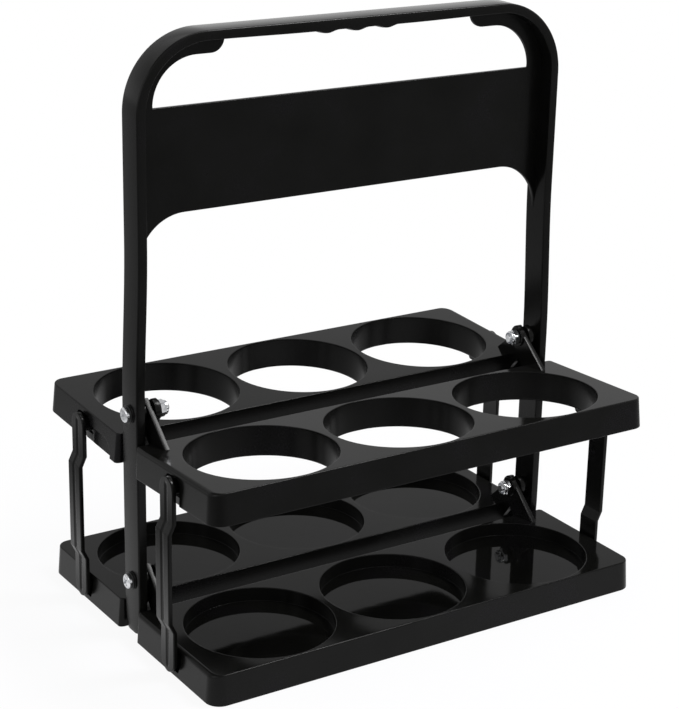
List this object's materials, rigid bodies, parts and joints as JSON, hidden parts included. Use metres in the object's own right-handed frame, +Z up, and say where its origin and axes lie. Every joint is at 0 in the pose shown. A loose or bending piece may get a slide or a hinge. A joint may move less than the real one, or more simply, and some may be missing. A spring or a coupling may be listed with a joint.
{
  "type": "folding bottle carrier",
  "caption": "Folding carrier for bottles: a loop handle frame with two rows of holed trays that fold up on links against its sides.",
  "frame": {"origin": "on the floor, under the middle of the carrier", "axes": "+X along the trays to the right, +Y from the front row to the back row, +Z up"},
  "size_m": [0.281, 0.1876, 0.3188],
  "materials": {
    "black_abs": "moulded, semi-gloss black",
    "black_nylon": "plain black nylon",
    "nylon": "translucent white nylon",
    "zinc_plated_steel": "bright zinc plate"
  },
  "bodies": {
    "frame": {"handle_frame": "black_abs", "pivot_screw_lower_left": "zinc_plated_steel", "pivot_screw_lower_right": "zinc_plated_steel", "pivot_screw_upper_left": "zinc_plated_steel", "pivot_screw_upper_right": "zinc_plated_steel", "screw_washer_lower_left": "black_nylon", "screw_washer_lower_right": "black_nylon", "screw_washer_upper_left": "black_nylon", "screw_washer_upper_right": "black_nylon", "lock_nut_lower_left": "zinc_plated_steel", "lock_nut_lower_right": "zinc_plated_steel", "lock_nut_upper_left": "zinc_plated_steel", "lock_nut_upper_right": "zinc_plated_steel", "nylon_ring_lower_left": "nylon", "nylon_ring_lower_right": "nylon", "nylon_ring_upper_left": "nylon", "nylon_ring_upper_right": "nylon"},
    "upper_front": {"upper_front_tray": "black_abs"},
    "lower_front": {"lower_front_tray": "black_abs"},
    "link_front_left": {"link_front_left": "black_abs"},
    "link_front_right": {"link_front_right": "black_abs"},
    "upper_back": {"upper_back_tray": "black_abs"},
    "lower_back": {"lower_back_tray": "black_abs"},
    "link_back_left": {"link_back_left": "black_abs"},
    "link_back_right": {"link_back_right": "black_abs"}
  },
  "joints": [
    {"name": "front_fold", "type": "hinge", "parent": "frame", "child": "upper_front", "pos_m": [0, 0, 0.1247], "axis": [-1, 0, 0], "range_deg": [0, 88]},
    {"name": "front_lower_fold", "type": "hinge", "parent": "frame", "child": "lower_front", "pos_m": [0, 0, 0.0312], "axis": [-1, 0, 0], "range_deg": [0, 88]},
    {"name": "front_link_left", "type": "hinge", "parent": "upper_front", "child": "link_front_left", "pos_m": [-0.1368, -0.0502, 0.103], "axis": [-1, 0, 0], "range_deg": [-88, 0]},
    {"name": "front_link_right", "type": "hinge", "parent": "upper_front", "child": "link_front_right", "pos_m": [0.1368, -0.0502, 0.103], "axis": [-1, 0, 0], "range_deg": [-88, 0]},
    {"name": "back_fold", "type": "hinge", "parent": "frame", "child": "upper_back", "pos_m": [0, 0, 0.1247], "axis": [1, 0, 0], "range_deg": [0, 88]},
    {"name": "back_lower_fold", "type": "hinge", "parent": "frame", "child": "lower_back", "pos_m": [0, 0, 0.0312], "axis": [1, 0, 0], "range_deg": [0, 88]},
    {"name": "back_link_left", "type": "hinge", "parent": "upper_back", "child": "link_back_left", "pos_m": [-0.1368, 0.0502, 0.103], "axis": [1, 0, 0], "range_deg": [-88, 0]},
    {"name": "back_link_right", "type": "hinge", "parent": "upper_back", "child": "link_back_right", "pos_m": [0.1368, 0.0502, 0.103], "axis": [1, 0, 0], "range_deg": [-88, 0]}
  ],
  "couplings": [
    {"joint": "front_lower_fold", "follows": "front_fold", "ratio": 1},
    {"joint": "front_link_left", "follows": "front_fold", "ratio": -1},
    {"joint": "front_link_right", "follows": "front_fold", "ratio": -1},
    {"joint": "back_lower_fold", "follows": "back_fold", "ratio": 1},
    {"joint": "back_link_left", "follows": "back_fold", "ratio": -1},
    {"joint": "back_link_right", "follows": "back_fold", "ratio": -1}
  ]
}
